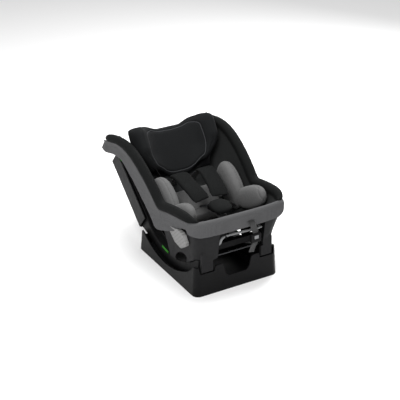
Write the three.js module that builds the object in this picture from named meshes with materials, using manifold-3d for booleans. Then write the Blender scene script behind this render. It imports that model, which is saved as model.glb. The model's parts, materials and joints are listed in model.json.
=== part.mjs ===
// Convertible child car seat on a rocker base: millimetres, +Z up, the seat faces -Y, X = 0 is the
// plane of symmetry. The origin is on the underside of the base, below the middle of its floor.
import * as THREE from "three";
import { mergeVertices } from "three/addons/utils/BufferGeometryUtils.js";
import Module from "manifold-3d";

const wasm = await Module();
wasm.setup();

// ---------- driving dimensions ----------
const GAP = 0.4; // clearance between touching pieces
const BACKREST_ANGLE = THREE.MathUtils.degToRad(40); // backrest above the horizontal, fully reclined

// recline: the seat's rockers slide on two curved tracks about one axis across the seat
const PIVOT = { y: 5, z: 365 };
const ROCKER_RADIUS = 347;
const ROCKER_DEPTH = 48;
const BASE_RIM_RADIUS = 332;

// base
const BASE = { halfWidth: 183, front: -233, rear: 221, wall: 6, floor: 5, corner: 26, taper: 7 };
const BASE_HORN = 117; // height of the base's front corners
const BASE_REAR_PEAK = 84;
const BASE_REAR_WALL = 52;
const POCKET_HEIGHT = 92;
const HUMP_HEIGHT = 113;
const FRONT_CUT_HEIGHT = 57;

// seat structure
const ROCKER_X = [120, 158]; // inner and outer face of each rocker frame
const SHELL_WALL = 5;
const RIM_RADIUS = 19;
const BACK_FLOOR = 62; // height of the bucket's back surface in the backrest's own frame
const BACK_FRAME_REAR = -100;
const BACK_FRAME_INNER = -12;

// ---------- solids ----------
function withoutSlivers(index) {
  const kept = [];
  for (let i = 0; i < index.length; i += 3) {
    const [a, b, c] = [index[i], index[i + 1], index[i + 2]];
    if (a !== b && b !== c && a !== c) kept.push(a, b, c);
  }
  return new Uint32Array(kept);
}

function solidOf(geometry) {
  const bare = geometry.clone();
  for (const name of Object.keys(bare.attributes)) {
    if (name !== "position") bare.deleteAttribute(name);
  }
  const merged = mergeVertices(bare, 1e-3);
  const mesh = new wasm.Mesh({
    numProp: 3,
    vertProperties: merged.attributes.position.array,
    triVerts: withoutSlivers(merged.index.array),
  });
  return new wasm.Manifold(mesh);
}

function geometryOf(solid) {
  const mesh = solid.getMesh();
  const geometry = new THREE.BufferGeometry();
  geometry.setAttribute("position", new THREE.BufferAttribute(mesh.vertProperties, 3));
  geometry.setIndex(new THREE.BufferAttribute(mesh.triVerts, 1));
  return geometry;
}

function cut(geometry, ...tools) {
  return geometryOf(tools.reduce((left, tool) => left.subtract(solidOf(tool)), solidOf(geometry)));
}

function join(first, ...others) {
  return geometryOf(others.reduce((sum, other) => sum.add(solidOf(other)), solidOf(first)));
}

function common(first, second) {
  return geometryOf(solidOf(first).intersect(solidOf(second)));
}

function volumeOf(positions, index) {
  const corner = (i) => new THREE.Vector3(...positions.slice(3 * index[i], 3 * index[i] + 3));
  let volume = 0;
  for (let i = 0; i < index.length; i += 3) {
    volume += corner(i).dot(corner(i + 1).cross(corner(i + 2))) / 6;
  }
  return volume;
}

function closedGeometry(positions, index) {
  if (volumeOf(positions, index) < 0) index.reverse();
  const geometry = new THREE.BufferGeometry();
  geometry.setAttribute("position", new THREE.Float32BufferAttribute(positions, 3));
  geometry.setIndex(index);
  return geometry;
}

// A thick sheet: near(u, v) and far(u, v) are its two faces, for u and v from 0 to 1.
function slab(columns, rows, near, far) {
  const positions = [];
  for (const face of [near, far]) {
    for (let j = 0; j <= rows; j++) {
      for (let i = 0; i <= columns; i++) positions.push(...face(i / columns, j / rows).toArray());
    }
  }
  const at = (face, i, j) => face * (columns + 1) * (rows + 1) + j * (columns + 1) + i;
  const index = [];
  const quad = (a, b, c, d) => index.push(a, b, c, a, c, d);
  for (let j = 0; j < rows; j++) {
    for (let i = 0; i < columns; i++) {
      quad(at(0, i, j), at(0, i, j + 1), at(0, i + 1, j + 1), at(0, i + 1, j));
      quad(at(1, i, j), at(1, i + 1, j), at(1, i + 1, j + 1), at(1, i, j + 1));
    }
  }
  for (let i = 0; i < columns; i++) {
    quad(at(0, i, 0), at(0, i + 1, 0), at(1, i + 1, 0), at(1, i, 0));
    quad(at(0, i + 1, rows), at(0, i, rows), at(1, i, rows), at(1, i + 1, rows));
  }
  for (let j = 0; j < rows; j++) {
    quad(at(0, 0, j + 1), at(0, 0, j), at(1, 0, j), at(1, 0, j + 1));
    quad(at(0, columns, j), at(0, columns, j + 1), at(1, columns, j + 1), at(1, columns, j));
  }
  return closedGeometry(positions, index);
}

// A skin over a list of closed rings with the same number of points, with flat caps.
function loft(rings) {
  const size = rings[0].length;
  const positions = rings.flat().flatMap((point) => point.toArray());
  const index = [];
  for (let r = 0; r < rings.length - 1; r++) {
    for (let i = 0; i < size; i++) {
      const [a, b] = [r * size + i, r * size + ((i + 1) % size)];
      index.push(a, b, b + size, a, b + size, a + size);
    }
  }
  for (const [ring, flip] of [[0, true], [rings.length - 1, false]]) {
    const middle = positions.length / 3;
    const centre = rings[ring].reduce((sum, p) => sum.add(p), new THREE.Vector3());
    positions.push(...centre.divideScalar(size).toArray());
    for (let i = 0; i < size; i++) {
      const [a, b] = [ring * size + i, ring * size + ((i + 1) % size)];
      index.push(...(flip ? [middle, b, a] : [middle, a, b]));
    }
  }
  return closedGeometry(positions, index);
}

// A round tube through a list of points, radius(share of the way) wide.
function tube(points, radius, sides = 10) {
  const rings = points.map((point, i) => {
    const ahead = points[Math.min(i + 1, points.length - 1)];
    const behind = points[Math.max(i - 1, 0)];
    const along = ahead.clone().sub(behind).normalize();
    const side = new THREE.Vector3(1, 0, 0).addScaledVector(along, -along.x);
    if (side.length() < 0.3) side.set(0, 0, 1).addScaledVector(along, -along.z);
    side.normalize();
    const up = along.clone().cross(side);
    const r = radius(i / (points.length - 1));
    return Array.from({ length: sides }, (_, k) => {
      const angle = (2 * Math.PI * k) / sides;
      const [a, b] = [r * Math.cos(angle), r * Math.sin(angle)];
      return point.clone().addScaledVector(side, a).addScaledVector(up, b);
    });
  });
  return loft(rings);
}

function shapeOf(outline) {
  return new THREE.Shape(outline.map(([a, b]) => new THREE.Vector2(a, b)));
}

function extruded(shape, depth, bevel) {
  const options = { depth: depth - 2 * bevel, curveSegments: 8, bevelEnabled: bevel > 0 };
  Object.assign(options, { bevelThickness: bevel, bevelSize: bevel, bevelOffset: -bevel, bevelSegments: 1 });
  const geometry = new THREE.ExtrudeGeometry(shape, options);
  return geometry.translate(0, 0, bevel);
}

// An outline in the YZ plane, from x0 to x1.
function sidePlate(outline, x0, x1, bevel = 0) {
  const turn = new THREE.Matrix4().makeBasis(
    new THREE.Vector3(0, 1, 0), new THREE.Vector3(0, 0, 1), new THREE.Vector3(1, 0, 0));
  return extruded(shapeOf(outline), x1 - x0, bevel).applyMatrix4(turn).translate(x0, 0, 0);
}

// An outline in the XZ plane, from y0 to y1.
function frontPlate(outline, y0, y1, bevel = 0) {
  const turn = new THREE.Matrix4().makeBasis(
    new THREE.Vector3(1, 0, 0), new THREE.Vector3(0, 0, 1), new THREE.Vector3(0, -1, 0));
  return extruded(shapeOf(outline), y1 - y0, bevel).applyMatrix4(turn).translate(0, y1, 0);
}

// An outline in the XY plane, from z0 to z1.
function flatPlate(outline, z0, z1, bevel = 0) {
  return extruded(shapeOf(outline), z1 - z0, bevel).translate(0, 0, z0);
}

function box(x0, x1, y0, y1, z0, z1, bevel = 0) {
  return flatPlate([[x0, y0], [x1, y0], [x1, y1], [x0, y1]], z0, z1, bevel);
}

function roundedOutline(x0, x1, y0, y1, radius, steps = 4) {
  const corners = [[x1 - radius, y0 + radius, -90], [x1 - radius, y1 - radius, 0],
    [x0 + radius, y1 - radius, 90], [x0 + radius, y0 + radius, 180]];
  return corners.flatMap(([x, y, start]) => Array.from({ length: steps + 1 }, (_, k) => {
    const angle = THREE.MathUtils.degToRad(start + (90 * k) / steps);
    return [x + radius * Math.cos(angle), y + radius * Math.sin(angle)];
  }));
}

function arcPoints(radius, fromY, toY, steps) {
  return Array.from({ length: steps + 1 }, (_, k) => {
    const y = fromY + ((toY - fromY) * k) / steps;
    return [y, PIVOT.z - Math.sqrt(radius ** 2 - (y - PIVOT.y) ** 2)];
  });
}

function mirrored(geometry) {
  const copy = (geometry.index ? geometry.toNonIndexed() : geometry.clone()).scale(-1, 1, 1);
  const position = copy.attributes.position;
  const flipped = [];
  for (let i = 0; i < position.count; i += 3) {
    for (const k of [i, i + 2, i + 1]) flipped.push(position.getX(k), position.getY(k), position.getZ(k));
  }
  return new THREE.BufferGeometry().setAttribute("position", new THREE.Float32BufferAttribute(flipped, 3));
}

// ---------- the backrest's own frame: s runs up the backrest, n stands off it ----------
function back(s, n) {
  const [c, d] = [Math.cos(BACKREST_ANGLE), Math.sin(BACKREST_ANGLE)];
  return [s * c - n * d, s * d + n * c];
}

function backPoint(x, s, n) {
  return new THREE.Vector3(x, ...back(s, n));
}

// A geometry made in (x, s, n), moved to its place.
function onBack(geometry) {
  return geometry.rotateX(BACKREST_ANGLE);
}

// ---------- the bucket: a U-shaped section carried from the top of the back to the front edge ----------
const STATIONS = [
  { floor: back(584, 22), rim: back(585, 38), low: 172, high: 207, hem: -56, seam: 6, hemX: 206 },
  { floor: back(550, 44), rim: back(554, 84), low: 174, high: 211, hem: -56, seam: 26, hemX: 206 },
  { floor: back(505, 60), rim: back(507, 145), low: 175, high: 213, hem: -16, seam: 78, hemX: 204 },
  { floor: back(460, 62), rim: back(460, 189), low: 176, high: 213, hem: 26, seam: 113, hemX: 200 },
  { floor: back(400, 62), rim: back(402, 219), low: 176, high: 213, hem: 43, seam: 136, hemX: 197 },
  { floor: back(330, 62), rim: back(330, 236), low: 174, high: 211, hem: 52, seam: 152, hemX: 195 },
  { floor: back(250, 62), rim: back(250, 243), low: 170, high: 208, hem: 56, seam: 162, hemX: 194 },
  { floor: back(185, 62), rim: back(180, 242), low: 164, high: 205, hem: 57, seam: 162, hemX: 193 },
  { floor: [62, 130], rim: [-48, 303], low: 158, high: 203, hem: 54, seam: 188, hemX: 191 },
  { floor: [15, 117], rim: [-98, 313], low: 152, high: 201, hem: 90, seam: 211, hemX: 191 },
  { floor: [-45, 128], rim: [-152, 320], low: 149, high: 199, hem: 114, seam: 207, hemX: 196 },
  { floor: [-110, 167], rim: [-200, 322], low: 147, high: 194, hem: 120, seam: 170, hemX: 200 },
  { floor: [-178, 220], rim: [-231, 317], low: 146, high: 178, hem: 62, seam: 104, hemX: 190 },
  { floor: [-236, 282], rim: [-244, 310], low: 138, high: 146, hem: -24, seam: 12, hemX: 158 },
];
const curveOf = (pick) => new THREE.CatmullRomCurve3(STATIONS.map(pick), false, "catmullrom", 0.5);
const FLOOR_CURVE = curveOf((s) => new THREE.Vector3(0, ...s.floor));
const RIM_CURVE = curveOf((s) => new THREE.Vector3(0, ...s.rim));
const WIDTH_CURVE = curveOf((s) => new THREE.Vector3(s.low, s.high, 0));
const HEM_CURVE = curveOf((s) => new THREE.Vector3(s.hem, s.seam, s.hemX));
const SQUARENESS = 4.5;
const PROFILE_STEPS = 48;
const sections = new Map();

// The right half of the section at t, as points (x, height above the floor), evenly spaced.
function sectionAt(t) {
  const key = t.toFixed(5);
  if (sections.has(key)) return sections.get(key);
  const [floor, rim, width] = [FLOOR_CURVE, RIM_CURVE, WIDTH_CURVE].map((curve) => curve.getPoint(t));
  const up = rim.clone().sub(floor);
  const height = up.length();
  up.normalize();
  const raw = Array.from({ length: 200 }, (_, k) => {
    const angle = (Math.PI / 2) * (k / 199);
    const v = height * (1 - Math.cos(angle) ** (2 / SQUARENESS));
    const half = width.x + (width.y - width.x) * (v / height);
    return new THREE.Vector2(half * Math.sin(angle) ** (2 / SQUARENESS), v);
  });
  const outline = new THREE.SplineCurve(raw);
  outline.arcLengthDivisions = 400;
  const points = outline.getSpacedPoints(PROFILE_STEPS);
  const section = { floor, up, points, length: outline.getLength(), rimWidth: width.y, rim, height };
  sections.set(key, section);
  return section;
}

// A point of the bucket's inner face: u is 0 in the middle and 1 at a rim, offset is outwards.
function bucketAt(t, u, offset) {
  const section = sectionAt(t);
  const place = Math.min(Math.abs(u), 1) * PROFILE_STEPS;
  const i = Math.min(Math.floor(place), PROFILE_STEPS - 1);
  const [a, b] = [section.points[i], section.points[i + 1]];
  const point = a.clone().lerp(b, place - i);
  const before = section.points[Math.max(i - 1, 0)];
  const after = section.points[Math.min(i + 2, PROFILE_STEPS)];
  const along = i === 0 ? new THREE.Vector2(1, 0) : after.clone().sub(before).normalize();
  const x = point.x + along.y * offset;
  const v = point.y - along.x * offset;
  return new THREE.Vector3(Math.sign(u || 1) * x, section.floor.y, section.floor.z)
    .addScaledVector(section.up, v);
}

// Half the section's width at a height v above its floor.
function halfWidthAt(t, v) {
  const { points } = sectionAt(t);
  const i = Math.max(points.findIndex((p) => p.y >= v), 1);
  if (v > points[PROFILE_STEPS].y) return points[PROFILE_STEPS].x;
  const [a, b] = [points[i - 1], points[i]];
  return a.x + ((b.x - a.x) * (v - a.y)) / (b.y - a.y);
}

// u at a distance below the rim, measured along the section.
function belowRim(t, distance) {
  return 1 - distance / sectionAt(t).length;
}

// ---------- soft and swept solids ----------
// A cushion: a rounded box about the origin, p from 2 (an ellipsoid) upwards (boxier).
function cushion(halfX, halfY, halfZ, p = 2.6, across = 18, around = 12) {
  const geometry = new THREE.SphereGeometry(1, across, around);
  const position = geometry.attributes.position;
  for (let i = 0; i < position.count; i++) {
    const point = new THREE.Vector3().fromBufferAttribute(position, i);
    const sum = Math.abs(point.x) ** p + Math.abs(point.y) ** p + Math.abs(point.z) ** p;
    point.multiplyScalar(sum ** (-1 / p)).multiply(new THREE.Vector3(halfX, halfY, halfZ));
    position.setXYZ(i, point.x, point.y, point.z);
  }
  return geometry;
}

// A flat band along a list of points; its width lies across, its thickness either side of the path.
function band(points, width, thickness, samples = 24) {
  const curve = new THREE.CatmullRomCurve3(points, false, "centripetal");
  const rings = Array.from({ length: samples + 1 }, (_, k) => {
    const point = curve.getPoint(k / samples);
    const along = curve.getTangent(k / samples);
    const across = new THREE.Vector3(1, 0, 0).addScaledVector(along, -along.x).normalize();
    const up = along.clone().cross(across);
    const [a, b] = [width / 2, thickness / 2];
    return [[-a, -b], [a, -b], [a, b], [-a, b]].map(([i, j]) =>
      point.clone().addScaledVector(across, i).addScaledVector(up, j));
  });
  return loft(rings);
}

// The largest body of a solid.
function mainBody(solid) {
  const bodies = solid.decompose().sort((a, b) => b.volume() - a.volume());
  return geometryOf(bodies[0]);
}

function trimmed(geometry, ...tools) {
  return mainBody(tools.reduce((left, tool) => left.subtract(solidOf(tool)), solidOf(geometry)));
}

// ---------- the parts ----------
const PLASTIC = { roughness: 0.55, metalness: 0 };
const FINISHES = {
  base_black: { color: 0x17181a, roughness: 0.35, metalness: 0 },
  shell_grey: { color: 0x3b3c3e, ...PLASTIC },
  structure_black: { color: 0x1b1c1e, ...PLASTIC },
  cover_grey: { color: 0x6a6a6b, roughness: 0.95, metalness: 0 },
  cover_black: { color: 0x17181a, roughness: 0.95, metalness: 0 },
  insert_grey: { color: 0x66645f, roughness: 0.95, metalness: 0 },
  headrest_black: { color: 0x1d1e20, roughness: 0.85, metalness: 0 },
  webbing_black: { color: 0x101112, roughness: 0.9, metalness: 0 },
  pad_light: { color: 0xb2b2b0, roughness: 0.6, metalness: 0 },
  route_green: { color: 0x2e8b2e, roughness: 0.5, metalness: 0 },
  handle_silver: { color: 0x9a9b9c, roughness: 0.45, metalness: 0.2 },
  steel: { color: 0xb0b2b5, roughness: 0.3, metalness: 1 },
  buckle_red: { color: 0xb01a1a, roughness: 0.4, metalness: 0 },
  foot_rubber: { color: 0x222222, roughness: 0.9, metalness: 0 },
};
const seat = new THREE.Group();

function add(name, finish, geometry) {
  const mesh = new THREE.Mesh(geometry, new THREE.MeshStandardMaterial(FINISHES[finish]));
  mesh.name = name;
  seat.add(mesh);
}

// The right-hand piece as made, and its mirror image on the left.
function addPair(name, finish, geometry) {
  add(`${name}_right`, finish, geometry);
  add(`${name}_left`, finish, mirrored(geometry));
}

// ----- base -----
function baseHull(inset, z0, z1) {
  const ring = (z) => {
    const lean = (BASE.taper * z) / BASE_HORN;
    const half = BASE.halfWidth - lean - inset;
    return roundedOutline(-half, half, BASE.front + inset + lean / 2, BASE.rear - inset - lean,
      BASE.corner - Math.min(inset, BASE.corner - 8), 5).map(([x, y]) => new THREE.Vector3(x, y, z));
  };
  return loft([ring(z0), ring(z1)]);
}

// The top edge of the base's front wall: two horns, two pockets for the legs, a wide cut between.
const FRONT_EDGE = [
  [-164, BASE_HORN + 5], [-160, POCKET_HEIGHT], [-99, POCKET_HEIGHT], [-96, HUMP_HEIGHT - 4],
  [-91, HUMP_HEIGHT], [-69, HUMP_HEIGHT], [-61, HUMP_HEIGHT - 6], [-52, 72], [-44, 61],
  [-36, FRONT_CUT_HEIGHT], [36, FRONT_CUT_HEIGHT], [44, 61], [52, 72], [61, HUMP_HEIGHT - 6],
  [69, HUMP_HEIGHT], [91, HUMP_HEIGHT], [96, HUMP_HEIGHT - 4], [99, POCKET_HEIGHT],
  [160, POCKET_HEIGHT], [164, BASE_HORN + 5],
];

const FEET = [[-201, -179], [169, 191]]; // the rubber strips, let into the underside
function baseTray() {
  const hull = baseHull(0, 0, BASE_HORN);
  const hollow = baseHull(BASE.wall, BASE.floor, BASE_HORN + 10);
  const aboveSides = sidePlate([
    [-212, 200], [-203, BASE_HORN], [-190, 100], ...arcPoints(BASE_RIM_RADIUS, -170, 176, 22),
    [192, BASE_REAR_PEAK], [203, BASE_REAR_PEAK - 3], [212, 66], [260, 56], [260, 200],
  ], -260, 260);
  const aboveFront = frontPlate([...FRONT_EDGE, [164, 160], [-164, 160]], BASE.front - 12, -200);
  const aboveRear = box(-162, 162, 196, 260, BASE_REAR_WALL, 140);
  const footRooms = FEET.map(([y0, y1]) => box(-150.4, 150.4, y0 - GAP, y1 + GAP, -1, 3));
  return cut(hull, hollow, aboveSides, aboveFront, aboveRear, ...footRooms);
}
add("base_tray", "base_black", baseTray());

const TRACK_X = [117, 161];
const track = sidePlate(
  [[-110, BASE.floor + GAP], ...arcPoints(ROCKER_RADIUS + 0.8, -110, 150, 16), [150, BASE.floor + GAP]],
  ...TRACK_X);
addPair("base_track", "structure_black", track);
add("base_foot_front", "foot_rubber", box(-150, 150, ...FEET[0], 0, 2.6, 0.8));
add("base_foot_rear", "foot_rubber", box(-150, 150, ...FEET[1], 0, 2.6, 0.8));

// ----- rocker frames: curved rail and back frame in one side profile -----
const ROCKER_INNER = ROCKER_RADIUS - ROCKER_DEPTH;
const rocker = sidePlate([
  [-212, 145], ...arcPoints(ROCKER_RADIUS, -212, 178, 24),
  back(236, BACK_FRAME_REAR + 8), back(250, BACK_FRAME_REAR + 6), back(512, BACK_FRAME_REAR + 6),
  back(520, BACK_FRAME_REAR + 14), back(520, -26), back(512, -16),
  back(240, BACK_FRAME_INNER - 4), ...arcPoints(ROCKER_INNER, 160, -192, 16),
], ...ROCKER_X, 3);
addPair("rocker_frame", "structure_black", rocker);
add("frame_crossbar", "steel", new THREE.CylinderGeometry(9, 9, 2 * ROCKER_X[0] - 0.8, 20)
  .rotateZ(Math.PI / 2).translate(0, 30, 52));

// ----- bucket shell -----
const STRAP_SLOT = { x: 42, halfWidth: 22, s: [298, 311] };
const BUCKET_EDGE = RIM_RADIUS + 4;
function bucketSheet(grow) {
  const reach = (v) => belowRim(v, BUCKET_EDGE - grow);
  const face = (offset) => (u, v) => bucketAt(v, (2 * u - 1) * reach(v), offset);
  return slab(20, 24, face(-grow), face(SHELL_WALL + grow));
}
const bucketClearance = bucketSheet(1.2);
function bucketShell() {
  const shell = bucketSheet(0);
  const topCut = onBack(flatPlate(roundedOutline(-150, 150, 478, 700, 40, 3), -60, 90));
  const slots = [-1, 1].map((side) => onBack(
    box(side * STRAP_SLOT.x - STRAP_SLOT.halfWidth, side * STRAP_SLOT.x + STRAP_SLOT.halfWidth,
      ...STRAP_SLOT.s, 40, 80)));
  const crotchSlot = box(-24, 24, -136, -120, 120, 230);
  return cut(shell, topCut, ...slots, crotchSlot);
}
add("bucket_shell", "structure_black", bucketShell());

// ----- grey band round the outside of the rims -----
const BAND_THICKNESS = 7;
// How far out the rolled rim reaches at a height v above the section's floor.
function rollReach(t, v) {
  const { height, rimWidth } = sectionAt(t);
  const drop = Math.min(Math.abs(v - height) / RIM_RADIUS, 1);
  return rimWidth + RIM_RADIUS * Math.sqrt(1 - drop ** 2);
}
function sideBand(low, high, extra = 0, from = 0, to = 1) {
  const at = (side, grow) => (w, k) => {
    const t = from + (to - from) * k;
    const hem = HEM_CURVE.getPoint(t);
    const v = low(hem) + (high(hem) - low(hem)) * w;
    const { floor, up } = sectionAt(t);
    const wall = (v > 0 ? halfWidthAt(t, v) : 0) + SHELL_WALL + 2.5;
    const roll = rollReach(t, v) - BAND_THICKNESS + 0.6;
    const x = (wall ** 40 + hem.z ** 40 + roll ** 40) ** (1 / 40) + side * BAND_THICKNESS + grow;
    return new THREE.Vector3(x, floor.y, floor.z).addScaledVector(up, v);
  };
  return slab(4, 26, at(0, -extra), at(1, extra));
}
const hemOf = (hem) => hem.x;
const seamOf = (hem) => hem.y - 0.5;

// The grey fabric across the front: a wall round the front edge with a rolled top.
function frontBand(extra = 0) {
  const face = (offset) => (u, v) => {
    const angle = (Math.PI / 2) * (2 * u - 1);
    const aside = THREE.MathUtils.smoothstep(Math.abs(2 * u - 1), 0.45, 0.95);
    const [hem, crest] = [254 + 12 * aside - extra, 305 - 5 * aside];
    const over = Math.max(v - 0.7, 0) / 0.3 * THREE.MathUtils.degToRad(115);
    const radius = 6 + offset;
    const inset = radius * (1 - Math.cos(over));
    const z = v < 0.7 ? hem + (crest - hem) * (v / 0.7) : crest + radius * Math.sin(over);
    const [half, depth] = [199 + offset - inset, 44 + offset - inset];
    const x = half * Math.sign(Math.sin(angle)) * Math.abs(Math.sin(angle)) ** 0.62;
    return new THREE.Vector3(x, -207 - depth * Math.cos(angle) ** 0.62, z);
  };
  return slab(24, 9, face(-extra), face(BAND_THICKNESS + extra));
}
const pullSlot = box(20, 56, -275, -245, 272, 282);
add("front_band", "cover_grey", trimmed(frontBand(), pullSlot, bucketClearance));
const besideFront = frontBand(0.9);
addPair("side_band", "cover_grey", trimmed(sideBand(hemOf, seamOf, 0, 0.002, 0.96), besideFront,
  box(100, 260, -300, -207.5, 100, 400)));

// The rolled rim with its black flap, which reaches down the outside to the band's seam.
const RIM_END = 0.95;
function rimBolster() {
  const points = Array.from({ length: 27 }, (_, k) => bucketAt(0.012 + ((RIM_END - 0.012) * k) / 26, 1, 0));
  const swell = (share) => RIM_RADIUS * Math.min(1, 0.62 + 6 * share, 0.3 + 5 * (1 - share));
  const roll = tube(points, swell, 10);
  const face = (offset) => (w, k) => {
    const t = 0.02 + (RIM_END - 0.07) * k;
    const { floor, up, height } = sectionAt(t);
    const hem = HEM_CURVE.getPoint(t);
    const v = hem.y + 0.3 + (height - 2 - hem.y) * w;
    const wall = halfWidthAt(t, Math.min(v, height)) + SHELL_WALL + 3.6;
    const x = (wall ** 40 + (hem.z - 3) ** 40) ** (1 / 40) + offset;
    return new THREE.Vector3(x, floor.y, floor.z).addScaledVector(up, v);
  };
  return trimmed(join(roll, slab(2, 24, face(0), face(7.5))), besideFront, bucketClearance,
    sideBand(hemOf, seamOf, 0.6, 0.002, 0.96));
}
addPair("rim_bolster", "cover_black", rimBolster());

// ----- black cover inside the bucket -----
const COVER = 10;
const FOLD = 0.642;
const EDGE_BELOW = RIM_RADIUS + 7;
function coverSheet(extra = 0) {
  const face = (offset) => (u, v) => bucketAt(v, (2 * u - 1) * belowRim(v, EDGE_BELOW - extra), offset);
  return slab(20, 24, face(-1.6 + extra), face(-COVER - extra));
}
// The room behind the fold between the back and the seat, moved forward by a margin.
function foldSide(margin) {
  const { floor, up } = sectionAt(FOLD);
  const ahead = new THREE.Vector3(0, -up.z, up.y).multiplyScalar(margin);
  const behind = new THREE.Vector3(0, up.z, -up.y);
  const along = (a, b) => floor.clone().addScaledVector(up, a).add(ahead).addScaledVector(behind, b);
  return sidePlate([along(-150, 0), along(-150, 900), along(600, 900), along(600, 0)]
    .map((point) => [point.y, point.z]), -300, 300);
}
const topCut = onBack(flatPlate(roundedOutline(-149, 149, 476, 700, 40, 3), -60, 90));
const strapSlots = [-1, 1].map((side) => onBack(
  box(side * STRAP_SLOT.x - STRAP_SLOT.halfWidth, side * STRAP_SLOT.x + STRAP_SLOT.halfWidth,
    ...STRAP_SLOT.s, 40, 140)));
const crotchSlot = box(-24, 24, -136, -120, 120, 260);
const behindFold = solidOf(foldSide(-1));
const coverSolid = [topCut, ...strapSlots, crotchSlot, besideFront, bucketSheet(0.4)]
  .reduce((left, tool) => left.subtract(solidOf(tool)), solidOf(coverSheet()));
add("back_cover", "cover_black", mainBody(coverSolid.intersect(behindFold)));
add("seat_cover", "cover_black", mainBody(coverSolid.subtract(solidOf(foldSide(0.6)))));
const coverClearance = coverSheet(0.5);

// ----- headrest: a curved shell on two rods, a centre pad and two wing pads -----
const HEADREST = { foot: 350, head: 552, back: 80, flat: 80, bend: 80, angle: 1.25, lip: 12 };
const HEADREST_LEAN = 0.3; // the headrest leans forward from the backrest, about its lower edge
// The headrest's width as a share of its full width, narrower towards its foot.
const narrowing = (s) => 0.68 + 0.32 * THREE.MathUtils.smoothstep(s, HEADREST.foot, HEADREST.foot + 100);
// The height of its top edge: it dips in the middle, between the wings.
const topEdge = (a) => HEADREST.head - 13 + 13 * THREE.MathUtils.smoothstep(Math.abs(a), 0.3, 0.85);
const HEADREST_SPAN = HEADREST.flat + HEADREST.bend * HEADREST.angle + HEADREST.lip;
// A point of the headrest shell's inner face: a is 0 in the middle and 1 at a side.
function headrestAt(a, s, offset) {
  const { flat, bend, angle, back: n0 } = HEADREST;
  const run = Math.abs(a) * HEADREST_SPAN;
  const turn = THREE.MathUtils.clamp((run - flat) / bend, 0, angle);
  const rest = Math.max(run - flat - bend * angle, 0);
  const x = Math.min(run, flat) + bend * Math.sin(turn) + rest * Math.cos(turn) + offset * Math.sin(turn);
  const n = n0 + bend * (1 - Math.cos(turn)) + rest * Math.sin(turn) - offset * Math.cos(turn);
  return new THREE.Vector3(Math.sign(a || 1) * x * narrowing(s), s, n);
}
function leaning(geometry) {
  return onBack(geometry.translate(0, -HEADREST.foot, -HEADREST.back).rotateX(HEADREST_LEAN)
    .translate(0, HEADREST.foot, HEADREST.back));
}
function headrestShell(grow = 0) {
  const { foot } = HEADREST;
  const at = (offset) => (u, v) => headrestAt(2 * u - 1, foot + (topEdge(2 * u - 1) - foot) * v, offset);
  return leaning(slab(20, 7, at(-grow), at(4 + grow)));
}
function headrestPad(extra = 0) {
  const at = (lift) => (u, v) => {
    const s = HEADREST.foot - 16 + (topEdge(2 * u - 1) + 6 - HEADREST.foot) * v;
    const reach = 0.4 + 0.3 * THREE.MathUtils.smoothstep(s, 340, 440);
    const alongV = Math.sqrt(Math.max(0, 1 - (2 * v - 1) ** 8));
    const alongU = Math.sqrt(Math.max(0.12, 1 - (2 * u - 1) ** 8));
    const round = alongV * alongU;
    return headrestAt((2 * u - 1) * reach, s, -1.4 - extra - lift * (6 + 30 * round + 2 * extra));
  };
  return leaning(slab(16, 11, at(0), at(1)));
}
const WING_SECTION = [[108, 112], [122, 130], [132, 152], [140, 174], [150, 187], [163, 186], [173, 170],
  [176, 144], [173, 116], [162, 97], [142, 86], [120, 92]];
const WING_STEPS = [[374, 0.42], [380, 0.66], [390, 0.84], [410, 0.96], [440, 1], [490, 1], [518, 0.95],
  [536, 0.84], [547, 0.66], [553, 0.42]];
function headrestWing(extra = 0) {
  return leaning(loft(WING_STEPS.map(([s, scale]) => WING_SECTION.map(([x, n]) => {
    const from = new THREE.Vector2(x - 149, n - 140);
    from.setLength(from.length() * scale + extra);
    return new THREE.Vector3((149 + from.x) * narrowing(s), s, 140 + from.y);
  }))));
}

// ----- newborn insert: back pad, seat pad, two head-side pads, two hip pads -----
function edgeFall(a, width) {
  const past = Math.max(0, (Math.abs(2 * a - 1) - 1 + width) / width);
  return Math.sqrt(Math.max(0, 1 - past ** 2));
}
function insertSheet(from, to, reach, thickness, extra = 0) {
  const at = (u, v, lift) => bucketAt(from + (to - from) * v, (2 * u - 1) * reach(v), lift);
  const low = (u, v) => at(u, v, -COVER - 5.2 + extra);
  const fill = (u, v) => thickness(u, v) * edgeFall(u, 0.3) * edgeFall(v, 0.2);
  const high = (u, v) => at(u, v, -COVER - 8 - extra - fill(u, v));
  return slab(14, 12, low, high);
}
const backPad = (extra = 0) => insertSheet(0.44, 0.635, () => 0.4, () => 36, extra);
const thighLobe = (u, v) => 14 + 21 * THREE.MathUtils.smoothstep(v, 0.5, 0.8)
  + 30 * Math.sin(Math.PI * (0.12 + 0.74 * v)) * Math.abs(Math.sin(2 * Math.PI * u)) ** 0.6;
const seatPad = (extra = 0) => insertSheet(0.655, 0.988,
  (v) => 0.5 + 0.12 * THREE.MathUtils.smoothstep(v, 0.6, 0.9), thighLobe, extra);
const headPad = (extra = 0) => onBack(cushion(34 + extra, 99 + extra, 80 + extra, 2.5)
  .rotateY(-0.12).translate(148, 214, 160));
const hipPad = (extra = 0) => cushion(28 + extra, 98 + extra, 46 + extra, 2.5)
  .rotateX(-0.5).rotateZ(0.05).translate(149, -84, 272);

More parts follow.
